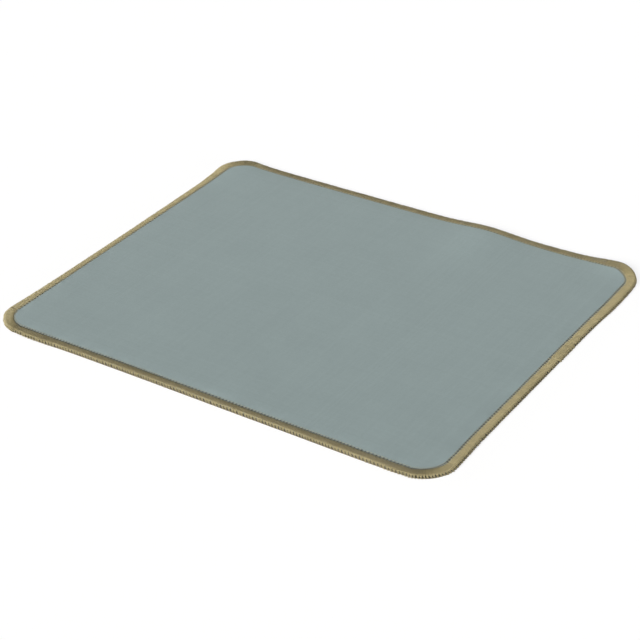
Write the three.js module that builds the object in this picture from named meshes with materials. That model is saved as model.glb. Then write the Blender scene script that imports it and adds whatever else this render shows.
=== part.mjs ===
// A cloth mouse pad with an overlocked edge, lying flat.
// Millimetres, +Z up. The origin is the middle of the underside, X runs along the long side,
// and -Y is the side nearest the user.
import * as THREE from "three";

// The finished pad, measured over the stitching.
const PAD_WIDTH = 250;
const PAD_DEPTH = 200;
const CORNER_RADIUS = 14.4;

// The laminate, from the face down.
const CLOTH_THICKNESS = 0.4;
const FILM_THICKNESS = 0.1;
const FOAM_THICKNESS = 1.5;

// The three-thread overlock stitch.
const STITCH_WIDTH = 4.05; // from the needle line out to the edge
const STITCH_PITCH = 1.72; // one stitch, along a straight side
const CORNER_STITCHES = 15; // in each rounded corner, where the pad is turned under the needle
const FACE_PINCH = 0.14; // how far the stitches pull the face down
const BASE_PINCH = 0.3; // how far they press into the underside
const PINCH_RUN = 0.5; // width of the dip beside the needle line
const EDGE_WRAP = 0.65; // thread outside the laminate's cut edge
const NEEDLE_THREAD = 0.36; // width of the needle thread as it lies
const CROWN_HEIGHT = 0.26; // top of the upper looper, over the pinched face
const SHOULDER = 0.55; // rounding of the upper looper from its top to its side
const HEEL = 0.2; // rounding of the lower looper from its side to the underside
const PURL_RISE = 0.2; // where the two loopers lock, above the pinched underside
const RIB_DEPTH = 0.1; // groove between one stitch and the next
const RIB_LEAN = 0.3; // how far a rib falls back along the edge at the shoulder
const CLEARANCE = 0.1; // between pieces that meet along a curve
const SEAT = 0.02; // between a thread and the flat that it lies on

// Facets in each rounded corner of the plain pieces.
const CORNER_STEPS = 10;

// Heights worked out from the layers.
const FILM_UNDERSIDE = FOAM_THICKNESS;
const CLOTH_UNDERSIDE = FOAM_THICKNESS + FILM_THICKNESS;
const FACE = CLOTH_UNDERSIDE + CLOTH_THICKNESS;
const BAND_FLOOR = FACE - FACE_PINCH;
const THREAD_FLOOR = BAND_FLOOR + SEAT;
const PURL = BASE_PINCH + PURL_RISE;

// Distances in from the finished edge.
const LOOPER_TOE = STITCH_WIDTH - NEEDLE_THREAD / 2 - CLEARANCE;
const DIP_FOOT = STITCH_WIDTH + NEEDLE_THREAD / 2 + CLEARANCE;
const DIP_TOP = DIP_FOOT + PINCH_RUN;
const WRAP = EDGE_WRAP - CLEARANCE;

// The four corners' centres, anticlockwise from the front right, seen from above.
const CORNERS = [
  [1, -1],
  [1, 1],
  [-1, 1],
  [-1, -1],
].map(
  ([sideX, sideY]) =>
    new THREE.Vector2(
      sideX * (PAD_WIDTH / 2 - CORNER_RADIUS),
      sideY * (PAD_DEPTH / 2 - CORNER_RADIUS),
    ),
);

// Stations once round the pad. Each has a foot on the rectangle of the corners' centres and points
// straight out from there, so that a point at any distance in from the edge follows from it.
function stationsRound(stepsAlong, stepsInCorner) {
  const stations = [];
  CORNERS.forEach((corner, index) => {
    const next = CORNERS[(index + 1) % CORNERS.length];
    const firstTurn = (Math.PI / 2) * (index - 1);
    for (let step = 0; step < stepsInCorner; step++) {
      const turn = firstTurn + ((Math.PI / 2) * step) / stepsInCorner;
      stations.push({ foot: corner, turn });
    }
    const steps = stepsAlong(corner.distanceTo(next));
    for (let step = 0; step < steps; step++) {
      const foot = corner.clone().lerp(next, step / steps);
      stations.push({ foot, turn: firstTurn + Math.PI / 2 });
    }
  });
  return stations;
}

// The point of a station at a distance in from the edge, pushed along the edge by a lean.
function pointAt({ foot, turn }, inset, height, lean = 0) {
  const reach = CORNER_RADIUS - inset;
  const x = foot.x + reach * Math.cos(turn) - lean * Math.sin(turn);
  const y = foot.y + reach * Math.sin(turn) + lean * Math.cos(turn);
  return [x, y, height];
}

// Two triangles for each pair of neighbours on two rings, facing out where the second ring is above.
function skinBetween(lower, upper, count) {
  const triangles = [];
  for (let here = 0; here < count; here++) {
    const next = (here + 1) % count;
    triangles.push(lower + here, lower + next, upper + next);
    triangles.push(lower + here, upper + next, upper + here);
  }
  return triangles;
}

function geometryOf(points, triangles) {
  const geometry = new THREE.BufferGeometry();
  geometry.setAttribute("position", new THREE.Float32BufferAttribute(points.flat(), 3));
  geometry.setIndex(triangles);
  geometry.computeVertexNormals();
  return geometry;
}

// A sheet with a flat underside and a flat face: rings from the underside out, up and in to the face.
function sheet(profile) {
  const stations = stationsRound(() => 1, CORNER_STEPS);
  const count = stations.length;
  const points = profile.flatMap(([inset, height]) =>
    stations.map((station) => pointAt(station, inset, height)),
  );
  const triangles = [];
  for (let ring = 0; ring + 1 < profile.length; ring++) {
    triangles.push(...skinBetween(ring * count, (ring + 1) * count, count));
  }
  const top = (profile.length - 1) * count;
  const outline = (first) =>
    points.slice(first, first + count).map(([x, y]) => new THREE.Vector2(x, y));
  for (const [a, b, c] of THREE.ShapeUtils.triangulateShape(outline(0), [])) {
    triangles.push(a, c, b);
  }
  for (const [a, b, c] of THREE.ShapeUtils.triangulateShape(outline(top), [])) {
    triangles.push(top + a, top + b, top + c);
  }
  return geometryOf(points, triangles);
}

// A thread band that runs once round the pad. sectionAt gives its section at a station, as points
// with their distance in from the edge, height and lean, anticlockwise with the edge on the right.
function band(stations, sectionAt) {
  const sections = stations.map((station, index) =>
    sectionAt(index).map(([inset, height, lean]) => pointAt(station, inset, height, lean)),
  );
  const count = stations.length;
  const size = sections[0].length;
  const points = [];
  for (let corner = 0; corner < size; corner++) {
    points.push(...sections.map((section) => section[corner]));
  }
  const triangles = [];
  for (let corner = 0; corner < size; corner++) {
    const next = (corner + 1) % size;
    triangles.push(...skinBetween(corner * count, next * count, count));
  }
  return geometryOf(points, triangles);
}

// The surface between two layers, from the cut edge in: it dips under the stitching.
function interfaceAt(height) {
  return [
    [EDGE_WRAP, height - FACE_PINCH],
    [DIP_FOOT, height - FACE_PINCH],
    [DIP_TOP, height],
  ];
}

// The foamed rubber base, with a rebate round its underside for the lower looper.
function foamBase() {
  const underside = [
    [DIP_TOP, 0],
    [DIP_FOOT, BASE_PINCH],
    [EDGE_WRAP, BASE_PINCH],
  ];
  return sheet([...underside, ...interfaceAt(FILM_UNDERSIDE)]);
}

// A layer of even thickness between two surfaces of the laminate.
function layer(underside, face) {
  return sheet([...interfaceAt(underside).reverse(), ...interfaceAt(face)]);
}

// The needle thread, lying flattened along the needle line on the pinched face.
function needleThread() {
  const half = NEEDLE_THREAD / 2;
  const section = [
    [STITCH_WIDTH - half, THREAD_FLOOR],
    [STITCH_WIDTH - half / 2, THREAD_FLOOR + half],
    [STITCH_WIDTH + half / 2, THREAD_FLOOR + half],
    [STITCH_WIDTH + half, THREAD_FLOOR],
  ];
  return band(stationsRound(() => 1, CORNER_STEPS), () => section);
}

// The upper looper: one rib for each stitch, from the needle line over the top and down the cut edge
// to the purl. Every other station is a rib's ridge, and the ones between are grooves.
function upperLooper() {
  const stepsAlong = (length) => 2 * Math.max(1, Math.round(length / STITCH_PITCH));
  const stations = stationsRound(stepsAlong, 2 * CORNER_STITCHES);
  const top = THREAD_FLOOR + CROWN_HEIGHT;
  return band(stations, (index) => {
    const groove = index % 2 ? RIB_DEPTH : 0;
    return [
      [groove, PURL],
      [groove, top - SHOULDER, -RIB_LEAN],
      [SHOULDER, top - groove, -RIB_LEAN],
      [LOOPER_TOE, THREAD_FLOOR],
      [WRAP, THREAD_FLOOR],
      [WRAP, PURL],
    ];
  });
}

// The lower looper: flush with the underside, and up round the cut edge to just below the purl.
function lowerLooper() {
  const seat = BASE_PINCH - SEAT;
  const lock = PURL - CLEARANCE;
  const section = [
    [HEEL, 0],
    [0, HEEL],
    [0, lock],
    [WRAP, lock],
    [WRAP, seat],
    [STITCH_WIDTH, seat],
    [STITCH_WIDTH, 0],
  ];
  return band(stationsRound(() => 1, CORNER_STEPS), () => section);
}

const CLOTH_GREY = "#8d9a9a";
const FILM_CLEAR = "#d9d7cf";
const FOAM_BLACK = "#1d1d1f";
const THREAD_TAN = "#b0a478";

const MOUSE_PAD = new THREE.Group();

function addPiece(name, geometry, color, roughness) {
  const material = new THREE.MeshStandardMaterial({ color, roughness, metalness: 0 });
  const mesh = new THREE.Mesh(geometry, material);
  mesh.name = name;
  MOUSE_PAD.add(mesh);
}

addPiece("foam_base", foamBase(), FOAM_BLACK, 0.9);
addPiece("bonding_film", layer(FILM_UNDERSIDE, CLOTH_UNDERSIDE), FILM_CLEAR, 0.4);
addPiece("face_cloth", layer(CLOTH_UNDERSIDE, FACE), CLOTH_GREY, 0.85);
addPiece("needle_thread", needleThread(), THREAD_TAN, 0.7);
addPiece("upper_looper_thread", upperLooper(), THREAD_TAN, 0.7);
addPiece("lower_looper_thread", lowerLooper(), THREAD_TAN, 0.7);

export default MOUSE_PAD;
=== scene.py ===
"""A cloth mouse pad with an overlocked edge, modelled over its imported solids: cloth, film, foam, threads."""

import math
import random

import bmesh
import bpy
from bpy.props import FloatProperty, FloatVectorProperty, PointerProperty
from mathutils import Matrix, Quaternion, Vector


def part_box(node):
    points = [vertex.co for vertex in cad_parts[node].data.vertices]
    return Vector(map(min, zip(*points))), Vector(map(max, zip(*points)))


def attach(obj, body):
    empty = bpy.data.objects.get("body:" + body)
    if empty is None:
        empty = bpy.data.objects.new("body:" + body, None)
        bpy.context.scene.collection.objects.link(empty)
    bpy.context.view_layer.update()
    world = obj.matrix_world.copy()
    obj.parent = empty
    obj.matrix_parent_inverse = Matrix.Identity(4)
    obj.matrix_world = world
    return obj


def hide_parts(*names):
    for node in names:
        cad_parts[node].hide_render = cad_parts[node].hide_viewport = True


bl_info = {
    "name": "Overlocked mouse pad",
    "version": (1, 0, 0),
    "blender": (4, 5, 0),
    "location": "View3D > Sidebar > Mouse pad",
    "description": "Models a cloth mouse pad with an overlocked edge over its packed solids",
    "category": "Add Mesh",
}

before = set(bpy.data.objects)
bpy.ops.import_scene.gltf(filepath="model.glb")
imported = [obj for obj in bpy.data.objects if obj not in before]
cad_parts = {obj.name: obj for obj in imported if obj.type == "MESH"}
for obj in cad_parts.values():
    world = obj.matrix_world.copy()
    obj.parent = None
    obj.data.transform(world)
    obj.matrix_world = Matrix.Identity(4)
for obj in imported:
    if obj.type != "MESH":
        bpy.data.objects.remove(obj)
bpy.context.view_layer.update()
BODY = "root"
MM = 0.001

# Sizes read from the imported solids.
HALF_WIDTH, HALF_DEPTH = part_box("upper_looper_thread")[1].xy
EDGE_WRAP = HALF_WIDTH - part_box("face_cloth")[1].x  # thread outside the laminate's cut edge
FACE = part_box("face_cloth")[1].z
FILM_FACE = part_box("bonding_film")[1].z
FOAM_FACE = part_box("foam_base")[1].z
FACE_PINCH = FOAM_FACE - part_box("bonding_film")[0].z  # how far the stitches pull the face down

# The needle line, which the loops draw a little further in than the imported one.
NEEDLE_WIDTH = 0.36 * MM
NEEDLE_DRAW = 0.1 * MM
STITCH_WIDTH = HALF_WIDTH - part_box("needle_thread")[1].x + NEEDLE_WIDTH / 2 + NEEDLE_DRAW
CORNER_STITCHES = 15

# How the laminate dips beside the needle line, on both faces: it is lowest as far in as the foot, and from
# there each step gives its width and the share of the dip that it climbs.
BASE_PINCH = 0.3 * MM  # how far the stitches press into the underside
NEEDLE_ROOM = 0.2 * MM
DIP_FOOT = STITCH_WIDTH + NEEDLE_ROOM
DIP_STEPS = ((0.05 * MM, 0.75), (0.05 * MM, 0.1), (0.25 * MM, 0.12), (0.4 * MM, 0.03))
HOLE_HALF = 0.3 * MM  # from the needle line to the ring of points outside it


class PadSizes(bpy.types.PropertyGroup):
    """Sizes of the pad that a user may change."""

    corner_radius: FloatProperty(
        name="Corner radius",
        description="Radius of the finished corners",
        default=14.4 * MM,
        unit="LENGTH",
    )
    stitch_pitch: FloatProperty(
        name="Stitch pitch",
        description="One stitch along the needle line",
        default=1.72 * MM,
        unit="LENGTH",
    )
    weave_pitch: FloatProperty(
        name="Weave pitch",
        description="Distance between yarns of the face",
        default=0.36 * MM,
        unit="LENGTH",
    )
    grip_pitch: FloatProperty(
        name="Grip pitch",
        description="Distance between dimples of the underside",
        default=2.4 * MM,
        unit="LENGTH",
    )
    grip_depth: FloatProperty(
        name="Grip depth",
        description="Depth of the dimples of the underside",
        default=0.2 * MM,
        unit="LENGTH",
    )


class PadColours(bpy.types.PropertyGroup):
    """Colours of the pad's materials, as linear values."""

    cloth: FloatVectorProperty(
        name="Cloth",
        description="Yarn of the face",
        subtype="COLOR",
        default=(0.247, 0.31, 0.314),
    )
    thread: FloatVectorProperty(
        name="Thread",
        description="Thread of the edge",
        subtype="COLOR",
        default=(0.386, 0.332, 0.178),
    )
    # Painted shade for the hollows between the thread's filaments.
    thread_hollow_shade: FloatVectorProperty(
        name="Thread shade",
        description="Hollows of the thread",
        subtype="COLOR",
        default=(0.12, 0.098, 0.044),
    )
    foam: FloatVectorProperty(
        name="Foam",
        description="Foamed rubber base",
        subtype="COLOR",
        default=(0.014, 0.014, 0.015),
    )
    film: FloatVectorProperty(
        name="Film",
        description="Bonding film",
        subtype="COLOR",
        default=(0.70, 0.68, 0.62),
    )
    floor: FloatVectorProperty(
        name="Floor",
        description="Floor under the pad",
        subtype="COLOR",
        default=(0.93, 0.93, 0.93),
    )


# Where the pad doesn't lie quite flat: place, spread along x and y, and height.
LIFTS = (
    (Vector((38, 104)) * MM, Vector((17, 32)) * MM, 1.65 * MM),
    (Vector((-126, 95)) * MM, Vector((18, 18)) * MM, 1.35 * MM),
    (Vector((111, 104)) * MM, Vector((15, 9)) * MM, 2.05 * MM),
)

# Where the hand that fed the pad let the edge stray from its even course: place, spread along the edge, and
# how far out from there the edge and the needle line run.
STRAYS = (
    (Vector((-40, -100)) * MM, 45 * MM, -0.3 * MM, -0.4 * MM),
    (Vector((-95, -100)) * MM, 12 * MM, 0.45 * MM, 0.0),
    (Vector((82, -100)) * MM, 22 * MM, 0.2 * MM, 0.0),
    (Vector((125, -80)) * MM, 12 * MM, 0.2 * MM, 0.6 * MM),
    (Vector((125, 65)) * MM, 14 * MM, 0.75 * MM, 0.4 * MM),
    (Vector((-10, 100)) * MM, 100 * MM, -0.15 * MM, -0.5 * MM),
    (Vector((120.5, -95.5)) * MM, 9 * MM, -0.35 * MM, -0.3 * MM),
    (Vector((113, -100)) * MM, 7 * MM, -0.6 * MM, -0.3 * MM),
    (Vector((120, 96.5)) * MM, 5 * MM, 0.5 * MM, -0.3 * MM),
    (Vector((125, 88)) * MM, 6 * MM, -0.7 * MM, 0.0),
    (Vector((108, 100)) * MM, 12 * MM, 0.0, -0.5 * MM),
    (Vector((-118.5, 97.5)) * MM, 7 * MM, 0.45 * MM, -0.5 * MM),
    (Vector((-112, -100)) * MM, 7 * MM, -0.7 * MM, -0.3 * MM),
    (Vector((-125, 84)) * MM, 12 * MM, 0.35 * MM, -0.2 * MM),
    (Vector((-125, -80)) * MM, 16 * MM, 0.45 * MM, 0.0),
    (Vector((-125, -10)) * MM, 30 * MM, -0.2 * MM, 0.0),
    (Vector((-125, -10)) * MM, 80 * MM, 0.0, 0.2 * MM),
    (Vector((125, -35)) * MM, 40 * MM, 0.0, 0.1 * MM),
    (Vector((78, 100)) * MM, 20 * MM, 0.0, -0.5 * MM),
)
STRAY_END = 3  # where the shift has died out, in stitch widths from the edge
CORNER_CUT = 2.2 * MM  # how much larger a radius the needle line keeps than the edge, round a corner


def lift_at(place):
    """How far the pad stands off the desk at a place."""
    total = 0.0
    for centre, spread, height in LIFTS:
        across = (place.x - centre.x) / spread.x
        along = (place.y - centre.y) / spread.y
        total += height * math.exp(-(across**2) - along**2)
    return total


def foot_of(sizes, place):
    """The nearest place to this one in the rectangle of the corners' centres."""
    x = HALF_WIDTH - sizes.corner_radius
    y = HALF_DEPTH - sizes.corner_radius
    return Vector((max(-x, min(x, place.x)), max(-y, min(y, place.y))))


def stray_at(sizes, place):
    """How far the pad is drawn out or in at a place near its edge, as a shift in the plane."""
    arm = place.xy - foot_of(sizes, place)
    share = (sizes.corner_radius - arm.length) / STITCH_WIDTH
    if share > STRAY_END:
        return Vector((0, 0))
    outward = arm.normalized()
    at_edge = 0.0
    at_needle = -CORNER_CUT * (abs(outward.x) + abs(outward.y) - 1)
    for centre, spread, edge, needle in STRAYS:
        near = math.exp(-(((place.xy - centre).length / spread) ** 2))
        at_edge += edge * near
        at_needle += needle * near
    if share < 1:
        return outward * (at_edge + (at_needle - at_edge) * max(0.0, share))
    return outward * at_needle * (STRAY_END - share) / (STRAY_END - 1)


# How far the hand that fed the pad ran ahead of the needle: waves once round the edge, and their height.
FEED_DRIFT = ((7, 0.9 * MM), (11, 0.9 * MM), (19, 0.35 * MM))
DRIFT_ROUNDS = 4  # rounds of taking the drift off a run, until it settles

# How much fuller the loops are along the short sides, and at the ends of a side, from where that dies out.
SIDE_FULLNESS = 0.15 * MM
CORNER_FULLNESS = 0.75 * MM
CORNER_REACH = 14 * MM


class StitchLine:
    """The stitched edge, walked anticlockwise from the front right corner, one pitch for each stitch."""

    def __init__(self, sizes):
        x = HALF_WIDTH - sizes.corner_radius
        y = HALF_DEPTH - sizes.corner_radius
        self.sizes = sizes
        self.pitch = sizes.stitch_pitch
        self.radius = sizes.corner_radius - STITCH_WIDTH
        self.corners = [Vector((x, -y)), Vector((x, y)), Vector((-x, y)), Vector((-x, -y))]
        self.spans = [(self.corners[(i + 1) % 4] - self.corners[i]).length for i in range(4)]
        self.side_stitches = [round(span / self.pitch) for span in self.spans]
        self.bend = CORNER_STITCHES * self.pitch
        self.sides = [number * self.pitch for number in self.side_stitches]
        self.starts = [index * self.bend + sum(self.sides[:index]) for index in range(4)]
        self.count = 4 * CORNER_STITCHES + sum(self.side_stitches)
        self.length = self.count * self.pitch

    def runs(self):
        """The run along the edge to each stitch."""
        return [number * self.pitch for number in range(self.count)]

    def drift(self, run):
        """How far ahead of an even pitch the stitching is at a run along the edge."""
        turn = 2 * math.pi * run / self.length
        return sum(height * math.sin(waves * (turn + waves)) for waves, height in FEED_DRIFT)

    def walk(self, run):
        """The foot inside the corner arcs, and the angle straight out, after a run of stitches."""
        run = (run + self.drift(run)) % self.length
        for index, corner in enumerate(self.corners):
            turn = math.pi / 2 * (index - 1)
            if run < self.bend:
                return corner, turn + math.pi / 2 * run / self.bend
            run -= self.bend
            if run < self.sides[index]:
                ahead = self.corners[(index + 1) % 4]
                return corner.lerp(ahead, run / self.sides[index]), turn + math.pi / 2
            run -= self.sides[index]
        return self.corners[0], -math.pi / 2

    def fullness(self, run):
        """How far the loops stand out: more on the short sides, and most where a side runs into a corner."""
        foot, turn = self.walk(run)
        to_corner = (self.corners[1] - Vector((abs(foot.x), abs(foot.y)))).length
        at_end = CORNER_FULLNESS * math.exp(-to_corner / CORNER_REACH) * math.cos(2 * turn) ** 2
        return SIDE_FULLNESS * math.cos(turn) ** 2 + at_end

    def place(self, run, out, up):
        """A point by its run along the edge, its distance out from the needle line and its height."""
        foot, turn = self.walk(run)
        reach = self.radius + out
        return Vector((foot.x + reach * math.cos(turn), foot.y + reach * math.sin(turn), up))

    def run_at(self, point):
        """The run along the edge to the stitch that is straight in or out from a point."""
        x, y = self.corners[1]
        foot = foot_of(self.sizes, point)
        quarter = (math.atan2(point.y - foot.y, point.x - foot.x) / (math.pi / 2) + 1) % 4
        if abs(foot.x) < x or abs(foot.y) < y:
            index = round(quarter - 1) % 4
            share = (foot - self.corners[index]).length / self.spans[index]
            even = self.starts[index] + self.bend + share * self.sides[index]
        else:
            index = int(quarter) % 4
            even = self.starts[index] + (quarter - index) * self.bend
        run = even
        for _ in range(DRIFT_ROUNDS):
            run = even - self.drift(run)
        return run


THREAD_SIDES = 4


def thread_along(bm, path):
    """Carries a flat ring along a path of places, normals, widths and heights, and maps length and girth."""
    uv = bm.loops.layers.uv.verify()
    places = [place for place, *_ in path]
    frames = []
    for index, (place, normal, width, height) in enumerate(path):
        ahead = places[min(index + 1, len(places) - 1)] - places[max(index - 1, 0)]
        tangent = ahead.normalized()
        across = tangent.cross(normal).normalized()
        thin = across.cross(tangent)
        axes = Matrix((across * width / 2, thin * height / 2, tangent)).transposed()
        frames.append(Matrix.Translation(place) @ axes.to_4x4())
    ring = bmesh.ops.create_circle(bm, segments=THREAD_SIDES, radius=1, matrix=frames[0])["verts"]
    girth = {vert: number for number, vert in enumerate(ring)}
    along = dict.fromkeys(ring, 0.0)
    edges = [edge for edge in bm.edges if edge.verts[0] in girth and edge.verts[1] in girth]
    bmesh.ops.contextual_create(bm, geom=edges)
    for index in range(1, len(frames)):
        made = bmesh.ops.extrude_edge_only(bm, edges=edges)["geom"]
        fresh = {item for item in made if isinstance(item, bmesh.types.BMVert)}
        faces = [item for item in made if isinstance(item, bmesh.types.BMFace)]
        step = (places[index] - places[index - 1]).length
        for edge in {edge for face in faces for edge in face.edges}:
            old, new = edge.verts
            if old in fresh:
                old, new = new, old
            if old not in fresh and new in fresh:
                girth[new] = girth[old]
                along[new] = along[old] + step
        carry = frames[index] @ frames[index - 1].inverted()
        bmesh.ops.transform(bm, matrix=carry, verts=list(fresh))
        edges = [edge for edge in {edge for face in faces for edge in face.edges}
                 if edge.verts[0] in fresh and edge.verts[1] in fresh]
        for face in faces:
            wraps = {girth[loop.vert] for loop in face.loops} == {0, THREAD_SIDES - 1}
            for loop in face.loops:
                number = girth[loop.vert]
                number = THREAD_SIDES if wraps and number == 0 else number
                loop[uv].uv = (along[loop.vert] / MM, number / THREAD_SIDES)
    bmesh.ops.contextual_create(bm, geom=edges)


def section_normals(places):
    """Outward normals along a section given as distances out and heights, walked from the needle line."""
    normals = []
    for index in range(len(places)):
        before = Vector(places[max(index - 1, 0)])
        after = Vector(places[min(index + 1, len(places) - 1)])
        tangent = (after - before).normalized()
        normals.append(Vector((0, -tangent.y, tangent.x)))
    return normals


def loop_path(leg, pitch, turn_rise, flip=1):
    """One looper loop: out across the band, round at the edge, and back, for thread_along."""
    section = [(STITCH_WIDTH - inset * MM, height * MM) for inset, height, *_ in leg]
    normals = [normal * flip for normal in section_normals(section)]
    out_leg = []
    back_leg = []
    for (out, up), normal, (_, _, middle, spread, width, thickness) in zip(section, normals, leg):
        size = (width * pitch, thickness * MM)
        out_leg.append((Vector(((middle - spread) * pitch, out, up)), normal, *size))
        back_leg.append((Vector(((middle + spread) * pitch, out, up)), normal, *size))
    out, up = section[-1]
    middle = leg[-1][2]
    turn = (Vector((middle * pitch, out, up + turn_rise)), *out_leg[-1][1:])
    return out_leg + [turn] + back_leg[::-1]


def unit_mesh(name, path):
    """One stitch as a mesh, in runs along the edge, distances out from the needle line and heights."""
    bm = bmesh.new()
    thread_along(bm, path)
    bmesh.ops.recalc_face_normals(bm, faces=bm.faces[:])
    mesh = bpy.data.meshes.new(name)
    bm.to_mesh(mesh)
    bm.free()
    return mesh


# Shares of a stitch's slack that show along the needle line and in its height.
SLACK_AT_NEEDLE = 0.5
SLACK_UP = 0.35


def lay_stitches(bm, unit, line, runs, dice, slack, fuller=0.0, lifted=0.0):
    """Lays a copy of a stitch at each run along the line, each a little different from the next."""
    tone = bm.verts.layers.float.get("stitch_tone") or bm.verts.layers.float.new("stitch_tone")
    for run in runs:
        start = len(bm.verts)
        bm.from_mesh(unit)
        bm.verts.ensure_lookup_table()
        shade = dice.random()
        at_needle = dice.uniform(-slack, slack) * SLACK_AT_NEEDLE
        at_edge = dice.uniform(-slack, slack)
        reach = dice.uniform(-slack, slack)
        rise = dice.uniform(-slack, slack) * SLACK_UP
        stretch = 1 + (line.fullness(run) + fuller) / STITCH_WIDTH
        for vert in bm.verts[start:]:
            share = max(0.0, min(1.0, vert.co.y / STITCH_WIDTH))
            shift = at_needle + (at_edge - at_needle) * share
            out = vert.co.y * stretch + reach * share
            up = vert.co.z + rise * share + lifted
            vert.co = line.place(run + vert.co.x + shift, out, up)
            vert[tone] = shade
    bpy.data.meshes.remove(unit)


def settle(bm, sizes):
    """Moves every point with the pad where its edge strays and where it doesn't lie flat."""
    for vert in bm.verts:
        vert.co.xy += stray_at(sizes, vert.co)
        vert.co.z += lift_at(vert.co)


def add_piece(name, bm, material, node):
    """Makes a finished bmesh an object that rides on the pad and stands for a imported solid."""
    mesh = bpy.data.meshes.new(name)
    bm.to_mesh(mesh)
    bm.free()
    mesh.shade_smooth()
    mesh.materials.append(material)
    piece = bpy.data.objects.new(name, mesh)
    bpy.context.scene.collection.objects.link(piece)
    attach(piece, BODY)
    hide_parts(node)
    return piece


# Sheets of the laminate.

CORNER_STEPS = 20
GRID_STEP = 6 * MM
CUT_TOLERANCE = 0.0001 * MM


def turn_face(face, up):
    """Turns a flat face over where needed, so that it points up for 1 and down for -1."""
    face.normal_update()
    if face.normal.z * up < 0:
        face.normal_flip()


def rounded_face(bm, sizes, inset, height, corner_steps=CORNER_STEPS, side_step=GRID_STEP):
    """A flat rounded rectangle set in from the finished edge, with points along its straight sides."""
    corners = bmesh.ops.create_grid(bm, x_segments=1, y_segments=1, size=1)["verts"]
    bmesh.ops.scale(bm, vec=(HALF_WIDTH - inset, HALF_DEPTH - inset, 1), verts=corners)
    bmesh.ops.translate(bm, vec=(0, 0, height), verts=corners)
    bmesh.ops.bevel(
        bm,
        geom=corners,
        offset=sizes.corner_radius - inset,
        offset_type="OFFSET",
        segments=corner_steps,
        profile=0.5,
        affect="VERTICES",
        material=-1,
    )
    sides = [edge for edge in bm.edges if edge.calc_length() > sizes.corner_radius]
    for side in sides:
        bmesh.ops.subdivide_edges(bm, edges=[side], cuts=round(side.calc_length() / side_step) - 1)
    bm.faces.ensure_lookup_table()
    return bm.faces[0]


def inset_face(bm, face, width, rise):
    """Sets a face in by a width and moves it along its normal, and returns the face that is left."""
    bmesh.ops.inset_region(
        bm, faces=[face], thickness=width, depth=rise, use_even_offset=True, use_boundary=True
    )
    return face


def climb_dip(bm, face, depth):
    """Sets a face in by the steps of the dip beside the stitching, which lift it by the dip's depth."""
    for width, share in DIP_STEPS:
        inset_face(bm, face, width, share * depth)


def cut_grid(bm, faces, step_x, step_y):
    """Cuts faces along a grid centred on the pad, and leaves the rest of the mesh alone."""
    normals = (Vector((1, 0, 0)), Vector((0, 1, 0)))
    reaches = (HALF_WIDTH, HALF_DEPTH)
    region = set(faces)
    for normal, reach, step in zip(normals, reaches, (step_x, step_y)):
        half = int(reach / step)
        for number in range(-half, half + 1):
            edges = {edge for face in region for edge in face.edges}
            verts = {vert for edge in edges for vert in edge.verts}
            before = set(bm.faces)
            bmesh.ops.bisect_plane(
                bm,
                geom=list(region) + list(edges) + list(verts),
                plane_co=normal * (number * step),
                plane_no=normal,
                dist=CUT_TOLERANCE,
            )
            region |= set(bm.faces) - before
    return list(region)


def laminate_sheet(sizes, face_height, inset, **steps):
    """The upper side of a sheet that dips under the stitching, and its faces with rings along the dip."""
    bm = bmesh.new()
    face = rounded_face(bm, sizes, inset, face_height - FACE_PINCH, **steps)
    turn_face(face, 1)
    inset_face(bm, face, STITCH_WIDTH - HOLE_HALF - inset, 0)
    inset_face(bm, face, HOLE_HALF, 0)
    inset_face(bm, face, DIP_FOOT - STITCH_WIDTH, 0)
    climb_dip(bm, face, FACE_PINCH)
    cut_grid(bm, [face], GRID_STEP, GRID_STEP)
    return bm


def close_sheet(bm, sizes, thickness):
    """Gives a sheet its thickness, downwards, and lays it on the desk as the pad lies."""
    made = bmesh.ops.extrude_face_region(bm, geom=bm.faces[:], use_keep_orig=True)["geom"]
    lower = [item for item in made if isinstance(item, bmesh.types.BMVert)]
    bmesh.ops.translate(bm, vec=(0, 0, -thickness), verts=lower)
    bmesh.ops.recalc_face_normals(bm, faces=bm.faces[:])
    settle(bm, sizes)


# Shader node groups and materials.


def new_group(name, inputs, outputs):
    """An empty shader node group with float, vector or colour sockets."""
    group = bpy.data.node_groups.new(name, "ShaderNodeTree")
    for socket, kind in inputs:
        group.interface.new_socket(socket, in_out="INPUT", socket_type=kind)
    for socket, kind in outputs:
        group.interface.new_socket(socket, in_out="OUTPUT", socket_type=kind)
    return group, group.nodes.new("NodeGroupInput"), group.nodes.new("NodeGroupOutput")


def wire(tree, value, socket):
    """Sets a socket to a plain value, or links an output to it."""
    if isinstance(value, bpy.types.NodeSocket):
        tree.links.new(value, socket)
    else:
        socket.default_value = value


def math_node(tree, operation, first, second=0.0, third=0.0):
    """A Math node's output."""
    node = tree.nodes.new("ShaderNodeMath")
    node.operation = operation
    for socket, value in zip(node.inputs, (first, second, third)):
        wire(tree, value, socket)
    return node.outputs[0]


def between(tree, share, ends):
    """A number between two ends, by a share from 0 to 1."""
    first, last = ends
    return math_node(tree, "MULTIPLY_ADD", share, last - first, first)


def wave_node(tree, angle):
    """The sine of an angle, brought to between 0 and 1."""
    return math_node(tree, "MULTIPLY_ADD", math_node(tree, "SINE", angle), 0.5, 0.5)


def grey_node(tree, value):
    """A colour with the same value in each channel."""
    node = tree.nodes.new("ShaderNodeCombineColor")
    for socket in node.inputs:
        tree.links.new(value, socket)
    return node.outputs[0]


def mix_colour(tree, factor, first, second, blend="MIX"):
    """A Mix node's colour output."""
    node = tree.nodes.new("ShaderNodeMix")
    node.data_type = "RGBA"
    node.blend_type = blend
    sockets = {socket.identifier: socket for socket in node.inputs}
    wire(tree, factor, sockets["Factor_Float"])
    wire(tree, first, sockets["A_Color"])
    wire(tree, second, sockets["B_Color"])
    return next(socket for socket in node.outputs if socket.identifier == "Result_Color")


NOISE_DETAIL = 2.0


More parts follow.
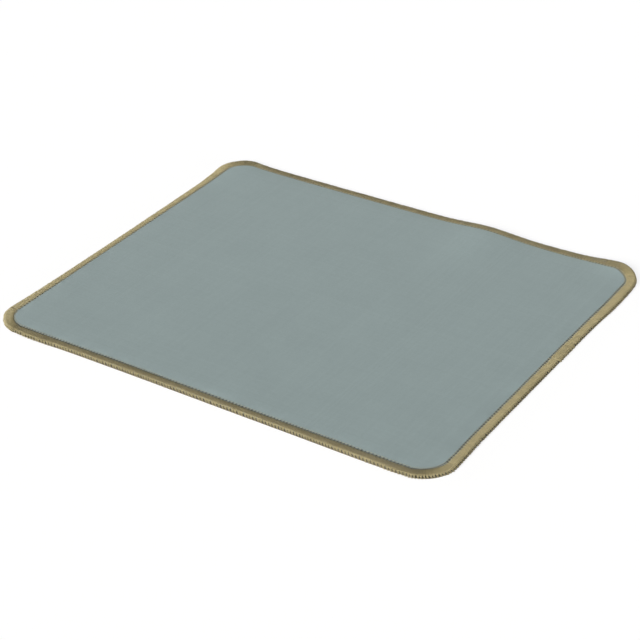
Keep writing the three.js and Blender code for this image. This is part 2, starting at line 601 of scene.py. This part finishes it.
def noise_at(tree, place, scale, detail=NOISE_DETAIL):
    """A Noise texture's value, from 0 to 1."""
    node = tree.nodes.new("ShaderNodeTexNoise")
    wire(tree, place, node.inputs["Vector"])
    wire(tree, scale, node.inputs["Scale"])
    node.inputs["Detail"].default_value = detail
    return node.outputs[0]


WEFT_APART = 0.37  # keeps the numbers of the weft yarns off those of the warp


def weave_group():
    """A plain weave on the x and y of a place: the yarns' height, and a number for each yarn."""
    group, source, sink = new_group(
        "yarn_weave",
        [("Place", "NodeSocketVector"), ("Pitch", "NodeSocketFloat")],
        [("Height", "NodeSocketFloat"), ("Yarn", "NodeSocketFloat")],
    )
    split = group.nodes.new("ShaderNodeSeparateXYZ")
    group.links.new(source.outputs["Place"], split.inputs[0])
    across = math_node(group, "DIVIDE", split.outputs["X"], source.outputs["Pitch"])
    along = math_node(group, "DIVIDE", split.outputs["Y"], source.outputs["Pitch"])

    def yarn(side, length):
        """The crown of one set of yarns, raised where it passes over the other set."""
        number = math_node(group, "FLOOR", side)
        share = math_node(group, "FRACT", side)
        crown = math_node(group, "SINE", math_node(group, "MULTIPLY", share, math.pi))
        phase = math_node(group, "MULTIPLY", math_node(group, "ADD", length, number), math.pi)
        return number, math_node(group, "MULTIPLY", crown, wave_node(group, phase))

    warp_number, warp = yarn(across, along)
    weft_number, weft = yarn(along, math_node(group, "ADD", across, 1.0))
    height = math_node(group, "MAXIMUM", warp, weft)
    on_warp = math_node(group, "GREATER_THAN", warp, weft)
    apart = math_node(group, "ADD", weft_number, WEFT_APART)
    difference = math_node(group, "SUBTRACT", warp_number, apart)
    number = math_node(group, "MULTIPLY_ADD", difference, on_warp, apart)
    dots = group.nodes.new("ShaderNodeTexWhiteNoise")
    dots.noise_dimensions = "1D"
    group.links.new(number, dots.inputs["W"])
    group.links.new(height, sink.inputs["Height"])
    group.links.new(dots.outputs["Value"], sink.inputs["Yarn"])
    return group


# How slowly the tone of a thread changes along it, and the scale of that change.
FIBRE_STRETCH = 0.6
FIBRE_SCALE = 1.3


def fibre_group():
    """The filaments of a twisted thread on its length and girth: their height, and a slow change of tone."""
    group, source, sink = new_group(
        "thread_fibres",
        [("Map", "NodeSocketVector"), ("Filaments", "NodeSocketFloat"), ("Twist", "NodeSocketFloat")],
        [("Height", "NodeSocketFloat"), ("Tone", "NodeSocketFloat")],
    )
    split = group.nodes.new("ShaderNodeSeparateXYZ")
    group.links.new(source.outputs["Map"], split.inputs[0])
    turn = math_node(group, "MULTIPLY", split.outputs["X"], source.outputs["Twist"])
    girth = math_node(group, "MULTIPLY_ADD", split.outputs["Y"], source.outputs["Filaments"], turn)
    height = wave_node(group, math_node(group, "MULTIPLY", girth, 2 * math.pi))
    stretch = group.nodes.new("ShaderNodeCombineXYZ")
    wire(group, math_node(group, "MULTIPLY", split.outputs["X"], FIBRE_STRETCH), stretch.inputs["X"])
    wire(group, girth, stretch.inputs["Y"])
    tone = noise_at(group, stretch.outputs[0], FIBRE_SCALE)
    group.links.new(height, sink.inputs["Height"])
    group.links.new(tone, sink.inputs["Tone"])
    return group


def new_material(name):
    """A material with only its Principled shader, and that shader."""
    material = bpy.data.materials.new(name)
    material.use_nodes = True
    shader = material.node_tree.nodes["Principled BSDF"]
    return material, material.node_tree, shader


def object_place(tree):
    """Object coordinates, which are the pad's own."""
    return tree.nodes.new("ShaderNodeTexCoord").outputs["Object"]


def attribute(tree, name):
    """A value that the mesh carries at its points."""
    node = tree.nodes.new("ShaderNodeAttribute")
    node.attribute_name = name
    return node.outputs["Fac"]


def use_group(tree, group, **values):
    """A node group placed in a material, with its inputs set."""
    node = tree.nodes.new("ShaderNodeGroup")
    node.node_tree = group
    for name, value in values.items():
        wire(tree, value, node.inputs[name])
    return node.outputs


def bump_node(tree, height, distance):
    """A Bump node's normal."""
    node = tree.nodes.new("ShaderNodeBump")
    node.inputs["Strength"].default_value = 1.0
    node.inputs["Distance"].default_value = distance
    tree.links.new(height, node.inputs["Height"])
    return node.outputs["Normal"]


def scaled(colour, factor):
    """A colour as four numbers, made lighter or darker."""
    return (*(channel * factor for channel in colour), 1.0)


# The cloth. Tones are shares of its colour: of its yarns, of broad clouds and fine specks over them, and of
# painted shade in the gaps between yarns, in the crease under the stitching and in the needle holes.
YARN_TONES = (0.94, 1.06)
CLOUD_TONES = (0.96, 1.04)
CLOUD_SCALE = 45.0
SPECK_TONES = (0.95, 1.05)
SPECK_SCALE = 900.0
GAP_SHADE_TONE = 0.70
CREASE_SHADE_TONE = 0.75
HOLE_SHADE_TONE = 0.07
CLOTH_ROUGHNESS = (0.95, 0.83)
YARN_BUMP = 0.05 * MM


def cloth_material(sizes, colours):
    """Fine matt polyester weave with small differences between its yarns, and painted shade in the gaps
    between yarns, in the crease under the stitching and in the needle holes.
    """
    material, tree, shader = new_material("woven_polyester")
    place = object_place(tree)
    weave = use_group(tree, weave_group(), Place=place, Pitch=sizes.weave_pitch)
    yarns = mix_colour(tree, weave["Yarn"], *(scaled(colours.cloth, tone) for tone in YARN_TONES))
    # Painted shade: the gaps between yarns are darker where the weave is low.
    gap_shaded = mix_colour(tree, weave["Height"], scaled(colours.cloth, GAP_SHADE_TONE), yarns)
    clouds = between(tree, noise_at(tree, place, CLOUD_SCALE, detail=3.0), CLOUD_TONES)
    specks = between(tree, noise_at(tree, place, SPECK_SCALE, detail=1.0), SPECK_TONES)
    patches = grey_node(tree, math_node(tree, "MULTIPLY", clouds, specks))
    whole = mix_colour(tree, 1.0, gap_shaded, patches, "MULTIPLY")
    # Painted shade in the crease under the stitching, as deep as the cloth is drawn down.
    crease_shaded = mix_colour(tree, attribute(tree, "stitch_crease_shade"), whole, scaled(colours.cloth, CREASE_SHADE_TONE))
    # Painted shade in the needle holes.
    colour = mix_colour(tree, attribute(tree, "needle_hole_shade"), crease_shaded, scaled(colours.cloth, HOLE_SHADE_TONE))
    tree.links.new(colour, shader.inputs["Base Color"])
    tree.links.new(between(tree, weave["Height"], CLOTH_ROUGHNESS), shader.inputs["Roughness"])
    tree.links.new(bump_node(tree, weave["Height"], YARN_BUMP), shader.inputs["Normal"])
    shader.inputs["Specular IOR Level"].default_value = 0.25
    shader.inputs["Sheen Weight"].default_value = 0.08
    shader.inputs["Sheen Roughness"].default_value = 0.5
    return material


# The thread. Tones are shares of its colour: of one stitch beside another, and along the filaments, with
# painted shade in the hollows between filaments.
FILAMENTS = 14.0
TWIST = 0.6
STITCH_TONES = (0.94, 1.06)
FIBRE_TONES = (0.85, 1.15)
THREAD_ROUGHNESS = (0.45, 0.65)
FIBRE_BUMP = 0.03 * MM


def thread_material(colours, fibres):
    """Tan textured polyester thread: fine filaments along it with painted shade in the hollows between them,
    and a tone for each stitch.
    """
    material, tree, shader = new_material("tan_polyester_thread")
    material.cycles.use_bump_map_correction = False
    uv = tree.nodes.new("ShaderNodeTexCoord").outputs["UV"]
    strands = use_group(tree, fibres, Map=uv, Filaments=FILAMENTS, Twist=TWIST)
    # Painted shade in the hollows between filaments, by the filaments' height.
    hollow_shade = scaled(colours.thread_hollow_shade, 1.0)
    shade = mix_colour(tree, strands["Height"], hollow_shade, scaled(colours.thread, 1.0))
    stitch_tone = between(tree, attribute(tree, "stitch_tone"), STITCH_TONES)
    fibre_tone = between(tree, strands["Tone"], FIBRE_TONES)
    tone = grey_node(tree, math_node(tree, "MULTIPLY", stitch_tone, fibre_tone))
    colour = mix_colour(tree, 1.0, shade, tone, "MULTIPLY")
    tree.links.new(colour, shader.inputs["Base Color"])
    tree.links.new(between(tree, strands["Tone"], THREAD_ROUGHNESS), shader.inputs["Roughness"])
    tree.links.new(bump_node(tree, strands["Height"], FIBRE_BUMP), shader.inputs["Normal"])
    shader.inputs["Specular IOR Level"].default_value = 0.4
    shader.inputs["Sheen Weight"].default_value = 0.1
    shader.inputs["Sheen Roughness"].default_value = 0.4
    return material


FOAM_TONES = (0.75, 1.6)
FOAM_CLOUD_SCALE = 120.0
FOAM_ROUGHNESS = (0.65, 0.90)
PORE_SCALE = 4500.0
PORE_BUMP = 0.03 * MM


def foam_material(colours):
    """Black foamed rubber with fine open pores."""
    material, tree, shader = new_material("foamed_rubber")
    place = object_place(tree)
    pores = tree.nodes.new("ShaderNodeTexVoronoi")
    tree.links.new(place, pores.inputs["Vector"])
    pores.inputs["Scale"].default_value = PORE_SCALE
    clouds = noise_at(tree, place, FOAM_CLOUD_SCALE, detail=3.0)
    skin = mix_colour(tree, clouds, *(scaled(colours.foam, tone) for tone in FOAM_TONES))
    tree.links.new(skin, shader.inputs["Base Color"])
    tree.links.new(between(tree, clouds, FOAM_ROUGHNESS), shader.inputs["Roughness"])
    tree.links.new(bump_node(tree, pores.outputs["Distance"], PORE_BUMP), shader.inputs["Normal"])
    shader.inputs["Specular IOR Level"].default_value = 0.35
    return material


FILM_TONES = (0.92, 1.04)
FILM_ROUGHNESS = (0.3, 0.5)
RIPPLE_SCALE = 260.0
RIPPLE_BUMP = 0.05 * MM


def film_material(colours):
    """Thin clear hot-melt film with a faint ripple."""
    material, tree, shader = new_material("hot_melt_film")
    ripple = noise_at(tree, object_place(tree), RIPPLE_SCALE)
    tint = mix_colour(tree, ripple, *(scaled(colours.film, tone) for tone in FILM_TONES))
    tree.links.new(tint, shader.inputs["Base Color"])
    tree.links.new(between(tree, ripple, FILM_ROUGHNESS), shader.inputs["Roughness"])
    tree.links.new(bump_node(tree, ripple, RIPPLE_BUMP), shader.inputs["Normal"])
    return material


# The stage: the floor, the camera, the lamps and the sky.

FLOOR_GLOW = 0.85  # share of plain white in what the camera sees of the floor
FLOOR_HALF = 3.0
FLOOR_GAP = 0.02 * MM
VIEW_TARGET = Vector((9.806, -15.802, 0.0)) * MM
VIEW_AZIMUTH = math.radians(35.588)
VIEW_ELEVATION = math.radians(31.924)
VIEW_ROLL = math.radians(-2.666)
VIEW_DISTANCE = 849.29 * MM
LENS_MM = 99.8
SENSOR_MM = 36.0
CLIP_NEAR = 0.05
CLIP_FAR = 20.0
KEY_AZIMUTH = math.radians(-9)
KEY_ELEVATION = math.radians(25)
LAMP_SPREAD = math.radians(22)
KEY_LEVEL = 0.83
LAMP_COLOUR = (1.0, 0.985, 0.955)
REFLECTOR_AZIMUTHS = (math.radians(80), math.radians(-80))
REFLECTOR_ELEVATION = math.radians(4)
REFLECTOR_LEVEL = 0.6
SKY_LEVEL = 0.19
SKY_COLOUR = (0.95, 0.985, 1.0)


def floor_material(colours):
    """White floor that shows brighter than it is lit, and keeps a faint shadow of the pad."""
    material = bpy.data.materials.new("white_floor")
    material.use_nodes = True
    tree = material.node_tree
    tree.nodes.clear()
    paint = tree.nodes.new("ShaderNodeBsdfDiffuse")
    paint.inputs["Color"].default_value = (*colours.floor, 1.0)
    glow = tree.nodes.new("ShaderNodeEmission")
    mix = tree.nodes.new("ShaderNodeMixShader")
    path = tree.nodes.new("ShaderNodeLightPath")
    seen = math_node(tree, "MAXIMUM", path.outputs["Is Camera Ray"], path.outputs["Is Glossy Ray"])
    seen = math_node(tree, "MAXIMUM", seen, path.outputs["Is Transmission Ray"])
    share = math_node(tree, "MULTIPLY", seen, FLOOR_GLOW)
    tree.links.new(share, mix.inputs[0])
    tree.links.new(paint.outputs[0], mix.inputs[1])
    tree.links.new(glow.outputs[0], mix.inputs[2])
    sink = tree.nodes.new("ShaderNodeOutputMaterial")
    tree.links.new(mix.outputs[0], sink.inputs["Surface"])
    return material


def direction(azimuth, elevation):
    """Unit direction from the pad, azimuth 0 towards the user."""
    flat = math.cos(elevation)
    return Vector((math.sin(azimuth) * flat, -math.cos(azimuth) * flat, math.sin(elevation)))


class MOUSEPAD_OT_stage(bpy.types.Operator):
    """Make the floor, the light and the camera at the photograph's angle"""

    bl_idname = "mouse_pad.stage"
    bl_label = "Stage"

    def execute(self, context):
        colours = context.scene.pad_colours
        self.make_floor(colours)
        self.make_sky(context.scene)
        key_level = KEY_LEVEL / math.sin(KEY_ELEVATION)
        self.make_lamp("key_light", KEY_AZIMUTH, KEY_ELEVATION, key_level)
        for azimuth in REFLECTOR_AZIMUTHS:
            self.make_lamp("side_reflector", azimuth, REFLECTOR_ELEVATION, REFLECTOR_LEVEL)
        self.make_camera(context.scene)
        context.scene.view_settings.view_transform = "Standard"
        return {"FINISHED"}

    def make_floor(self, colours):
        """A wide flat floor just under the pad."""
        bm = bmesh.new()
        bmesh.ops.create_grid(bm, x_segments=1, y_segments=1, size=FLOOR_HALF)
        bmesh.ops.translate(bm, vec=(0, 0, -FLOOR_GAP), verts=bm.verts[:])
        mesh = bpy.data.meshes.new("floor")
        bm.to_mesh(mesh)
        bm.free()
        mesh.materials.append(floor_material(colours))
        floor = bpy.data.objects.new("floor", mesh)
        bpy.context.scene.collection.objects.link(floor)

    def make_sky(self, scene):
        """Soft even light from all round, which only the camera sees as white, so that gloss gains none."""
        sky = bpy.data.worlds.new("studio_sky")
        scene.world = sky
        sky.use_nodes = True
        tree = sky.node_tree
        light = tree.nodes["Background"]
        light.inputs["Color"].default_value = (*SKY_COLOUR, 1.0)
        light.inputs["Strength"].default_value = SKY_LEVEL
        white = tree.nodes.new("ShaderNodeBackground")
        white.inputs["Color"].default_value = (1.0, 1.0, 1.0, 1.0)
        path = tree.nodes.new("ShaderNodeLightPath")
        mix = tree.nodes.new("ShaderNodeMixShader")
        tree.links.new(path.outputs["Is Camera Ray"], mix.inputs[0])
        tree.links.new(light.outputs[0], mix.inputs[1])
        tree.links.new(white.outputs[0], mix.inputs[2])
        tree.links.new(mix.outputs[0], tree.nodes["World Output"].inputs["Surface"])

    def make_lamp(self, name, azimuth, elevation, level):
        """A broad distant lamp."""
        lamp = bpy.data.lights.new(name, "SUN")
        lamp.angle = LAMP_SPREAD
        lamp.color = LAMP_COLOUR
        lamp.energy = level * math.pi
        light = bpy.data.objects.new(name, lamp)
        towards = direction(azimuth, elevation)
        light.rotation_euler = (-towards).to_track_quat("-Z", "Y").to_euler()
        bpy.context.scene.collection.objects.link(light)

    def make_camera(self, scene):
        """The camera where the photograph was taken from."""
        lens = bpy.data.cameras.new("photo_camera")
        lens.lens = LENS_MM
        lens.sensor_width = SENSOR_MM
        lens.clip_start = CLIP_NEAR
        lens.clip_end = CLIP_FAR
        camera = bpy.data.objects.new("photo_camera", lens)
        back = direction(VIEW_AZIMUTH, VIEW_ELEVATION)
        camera.location = VIEW_TARGET + back * VIEW_DISTANCE
        level = (-back).to_track_quat("-Z", "Y")
        camera.rotation_euler = (level @ Quaternion((0, 0, 1), VIEW_ROLL)).to_euler()
        scene.collection.objects.link(camera)
        scene.camera = camera


# Pieces.

# Dimples are pressed into the cells of the underside that no edge cuts, inside a rim.
GRIP_RIM = 0.4 * MM
WHOLE_CELL = 0.999

# The film ends a little short of the cut edge, where the stitches squeeze the cloth onto the foam.
FILM_SHORT = 0.4 * MM
FILM_EDGE = EDGE_WRAP + FILM_SHORT

# Between the stitches the foam swells out again at its lower edge.
SWELL_INSET = 0.08 * MM
SWELL_FOOT = 0.06 * MM
SWELL_RUN = 0.6 * MM

# The needle holes of the cloth, and how much sooner a hole's painted shade turns dark than the hole gets deep.
HOLE_DEPTH = 0.34 * MM
HOLE_REACH = 0.56 * MM
HOLE_DRAW = 0.08 * MM  # how far in from the needle line the middle of a hole lies
HOLE_SHADE_GAIN = 3
STEPS_A_STITCH = 6


class MOUSEPAD_OT_foam_base(bpy.types.Operator):
    """Model the foamed rubber base with its dimpled underside"""

    bl_idname = "mouse_pad.foam_base"
    bl_label = "Foam base"

    def execute(self, context):
        sizes = context.scene.pad_sizes
        bm = bmesh.new()
        face = rounded_face(bm, sizes, SWELL_INSET, SWELL_FOOT)
        turn_face(face, -1)
        inset_face(bm, face, SWELL_RUN, SWELL_FOOT - BASE_PINCH)
        inset_face(bm, face, DIP_FOOT - SWELL_INSET - SWELL_RUN, 0)
        climb_dip(bm, face, BASE_PINCH)
        cells = cut_grid(bm, [face], sizes.grip_pitch, sizes.grip_pitch)
        whole = [cell for cell in cells if cell.calc_area() > WHOLE_CELL * sizes.grip_pitch**2]
        bmesh.ops.inset_individual(bm, faces=whole, thickness=GRIP_RIM, use_even_offset=True)
        floors = {vert for cell in whole for vert in cell.verts}
        bmesh.ops.translate(bm, vec=(0, 0, sizes.grip_depth), verts=list(floors))
        rim = [edge for edge in bm.edges if edge.is_boundary]
        made = bmesh.ops.extrude_edge_only(bm, edges=rim)["geom"]
        upper = [item for item in made if isinstance(item, bmesh.types.BMVert)]
        bmesh.ops.translate(bm, vec=(0, 0, FOAM_FACE - FACE_PINCH - SWELL_FOOT), verts=upper)
        narrower = (HALF_WIDTH - EDGE_WRAP) / (HALF_WIDTH - SWELL_INSET)
        shallower = (HALF_DEPTH - EDGE_WRAP) / (HALF_DEPTH - SWELL_INSET)
        bmesh.ops.scale(bm, vec=(narrower, shallower, 1), verts=upper)
        rim = [edge for edge in bm.edges if edge.is_boundary]
        top = bmesh.ops.contextual_create(bm, geom=rim)["faces"][0]
        turn_face(top, 1)
        inset_face(bm, top, DIP_FOOT - EDGE_WRAP, 0)
        climb_dip(bm, top, FACE_PINCH)
        cut_grid(bm, [top], GRID_STEP, GRID_STEP)
        bmesh.ops.recalc_face_normals(bm, faces=bm.faces[:])
        settle(bm, sizes)
        material = foam_material(context.scene.pad_colours)
        piece = add_piece("rubber_foam", bm, material, "foam_base")
        return {"FINISHED"}


class MOUSEPAD_OT_bonding_film(bpy.types.Operator):
    """Model the film that bonds the cloth to the foam"""

    bl_idname = "mouse_pad.bonding_film"
    bl_label = "Bonding film"

    def execute(self, context):
        sizes = context.scene.pad_sizes
        bm = laminate_sheet(sizes, FILM_FACE, FILM_EDGE)
        close_sheet(bm, sizes, FILM_FACE - FOAM_FACE)
        material = film_material(context.scene.pad_colours)
        piece = add_piece("melt_film", bm, material, "bonding_film")
        return {"FINISHED"}


class MOUSEPAD_OT_face_cloth(bpy.types.Operator):
    """Model the woven face, drawn down at every needle hole"""

    bl_idname = "mouse_pad.face_cloth"
    bl_label = "Face cloth"

    def execute(self, context):
        sizes = context.scene.pad_sizes
        line = StitchLine(sizes)
        bm = laminate_sheet(
            sizes,
            FACE,
            EDGE_WRAP,
            corner_steps=STEPS_A_STITCH * CORNER_STITCHES,
            side_step=sizes.stitch_pitch / STEPS_A_STITCH,
        )
        self.draw_down(bm, line)
        close_sheet(bm, sizes, FACE - FILM_FACE)
        material = cloth_material(sizes, context.scene.pad_colours)
        piece = add_piece("woven_face", bm, material, "face_cloth")
        return {"FINISHED"}

    def draw_down(self, bm, line):
        """Sinks the cloth where the needle thread goes through it, and marks the holes and the crease for
        their painted shade.
        """
        hole = bm.verts.layers.float.new("needle_hole_shade")
        crease = bm.verts.layers.float.new("stitch_crease_shade")
        for vert in bm.verts:
            # Painted shade of the crease, by how far the cloth is drawn down.
            vert[crease] = (FACE - vert.co.z) / FACE_PINCH
            run = line.run_at(vert.co)
            foot, _ = line.walk(run)
            out = (vert.co.xy - foot).length - line.radius + HOLE_DRAW
            near = max(0.0, 1 - (out / HOLE_REACH) ** 2)
            puncture = near * max(0.0, math.cos(2 * math.pi * run / line.pitch))
            # Painted shade of the hole, darker sooner than the hole sinks.
            vert[hole] = min(1.0, HOLE_SHADE_GAIN * puncture)
            vert.co.z -= HOLE_DEPTH * puncture


# Legs of the looper threads from the needle line out: distance in from the edge and height of the thread's
# middle in millimetres, then the loop's middle, half the distance between its legs and a leg's width as
# shares of a stitch, and the thread's thickness in millimetres.
UPPER_LEG = (
    (4.28, 1.70, 0.50, 0.12, 0.26, 0.36),
    (3.66, 1.80, 0.50, 0.22, 0.46, 0.44),
    (2.90, 1.87, 0.49, 0.25, 0.53, 0.52),
    (1.20, 1.88, 0.45, 0.25, 0.54, 0.52),
    (0.74, 1.83, 0.40, 0.25, 0.53, 0.50),
    (0.38, 1.62, 0.33, 0.20, 0.42, 0.50),
    (0.22, 1.22, 0.37, 0.15, 0.31, 0.42),
    (0.12, 0.74, 0.53, 0.12, 0.26, 0.40),
    (0.06, 0.36, 0.68, 0.11, 0.25, 0.40),
)
LOWER_LEG = (
    (4.30, 0.30, 0.50, 0.22, 0.46, 0.22),
    (3.75, 0.13, 0.50, 0.24, 0.50, 0.22),
    (1.60, 0.12, 0.50, 0.24, 0.50, 0.22),
    (0.60, 0.12, 0.58, 0.20, 0.42, 0.22),
    (0.18, 0.13, 0.70, 0.15, 0.32, 0.24),
    (0.02, 0.22, 0.73, 0.12, 0.26, 0.24),
)
UPPER_TURN = -0.03 * MM  # how far a loop's turn at the edge lies above the ends of its legs
LOWER_TURN = 0.04 * MM
SLACK = 0.10 * MM
SEED = 11

# The upper loops shade by the broad faces of the thread.
FLAT_TOP_WEIGHT = 100
FLAT_TOP_LIKE = 0.05 * MM**2

# The needle thread between two holes: share of the stitch, and how far its middle lies below the face in
# millimetres.
NEEDLE_ARCH = ((0.15, 0.50), (0.23, 0.08), (0.50, 0.02), (0.77, 0.08), (0.85, 0.50))
NEEDLE_INSET = 0.47 * MM
NEEDLE_THICKNESS = 0.7 * NEEDLE_WIDTH
NEEDLE_SLACK = SLACK / 3

# The place on the right side where the stitching ends over its start.
JOIN_START = Vector((HALF_WIDTH, 8 * MM))
JOIN_STITCHES = 8
JOIN_REACH = 0.3 * MM
JOIN_RISE = 0.06 * MM
JOIN_SLACK = 2 * SLACK


class MOUSEPAD_OT_edge_threads(bpy.types.Operator):
    """Model the needle thread and the two looper threads, stitch by stitch"""

    bl_idname = "mouse_pad.edge_threads"
    bl_label = "Edge threads"

    def execute(self, context):
        sizes = context.scene.pad_sizes
        line = StitchLine(sizes)
        material = thread_material(context.scene.pad_colours, fibre_group())
        dice = random.Random(SEED)
        self.lay_upper(line, dice, material)
        self.lay_lower(line, dice, material)
        self.lay_needle(line, dice, material)
        return {"FINISHED"}

    def lay_upper(self, line, dice, material):
        """The loops that cross the face and wrap the cut edge, and again where the stitching ends."""
        path = loop_path(UPPER_LEG, line.pitch, UPPER_TURN)
        bm = bmesh.new()
        lay_stitches(bm, unit_mesh("upper_stitch", path), line, line.runs(), dice, SLACK)
        first = line.run_at(JOIN_START)
        over = [first + (number + 0.5) * line.pitch for number in range(JOIN_STITCHES)]
        again = unit_mesh("upper_stitch", path)
        lay_stitches(bm, again, line, over, dice, JOIN_SLACK, JOIN_REACH, JOIN_RISE)
        settle(bm, line.sizes)
        piece = add_piece("upper_loops", bm, material, "upper_looper_thread")
        flat_top = piece.modifiers.new("flat_top", "WEIGHTED_NORMAL")
        flat_top.weight = FLAT_TOP_WEIGHT
        flat_top.thresh = FLAT_TOP_LIKE

    def lay_lower(self, line, dice, material):
        """The loops that cross the underside and lock with the upper ones."""
        path = loop_path(LOWER_LEG, line.pitch, LOWER_TURN, -1)
        bm = bmesh.new()
        lay_stitches(bm, unit_mesh("lower_stitch", path), line, line.runs(), dice, SLACK)
        settle(bm, line.sizes)
        add_piece("lower_loops", bm, material, "lower_looper_thread")

    def lay_needle(self, line, dice, material):
        """The short arches of the needle thread on the face."""
        up = Vector((0, 0, 1))
        path = []
        for share, depth in NEEDLE_ARCH:
            place = Vector((share * line.pitch, -NEEDLE_INSET, FACE - depth * MM))
            path.append((place, up, NEEDLE_WIDTH, NEEDLE_THICKNESS))
        bm = bmesh.new()
        lay_stitches(bm, unit_mesh("needle_stitch", path), line, line.runs(), dice, NEEDLE_SLACK)
        settle(bm, line.sizes)
        add_piece("needle_stitches", bm, material, "needle_thread")


class MOUSEPAD_PT_sidebar(bpy.types.Panel):
    """Sizes, colours and steps of the mouse pad"""

    bl_label = "Mouse pad"
    bl_idname = "MOUSEPAD_PT_sidebar"
    bl_space_type = "VIEW_3D"
    bl_region_type = "UI"
    bl_category = "Mouse pad"

    def draw(self, context):
        for group in (context.scene.pad_sizes, context.scene.pad_colours):
            for name in group.__annotations__:
                self.layout.prop(group, name)
        for step in STEPS:
            self.layout.operator(step.bl_idname)


STEPS = (
    MOUSEPAD_OT_stage,
    MOUSEPAD_OT_foam_base,
    MOUSEPAD_OT_bonding_film,
    MOUSEPAD_OT_face_cloth,
    MOUSEPAD_OT_edge_threads,
)
CLASSES = (PadSizes, PadColours, *STEPS, MOUSEPAD_PT_sidebar)


def register():
    for cls in CLASSES:
        bpy.utils.register_class(cls)
    bpy.types.Scene.pad_sizes = PointerProperty(type=PadSizes)
    bpy.types.Scene.pad_colours = PointerProperty(type=PadColours)


def unregister():
    del bpy.types.Scene.pad_colours
    del bpy.types.Scene.pad_sizes
    for cls in reversed(CLASSES):
        bpy.utils.unregister_class(cls)


def main():
    register()
    bpy.ops.mouse_pad.stage()
    bpy.ops.mouse_pad.foam_base()
    bpy.ops.mouse_pad.bonding_film()
    bpy.ops.mouse_pad.face_cloth()
    bpy.ops.mouse_pad.edge_threads()


if __name__ == "__main__":
    main()
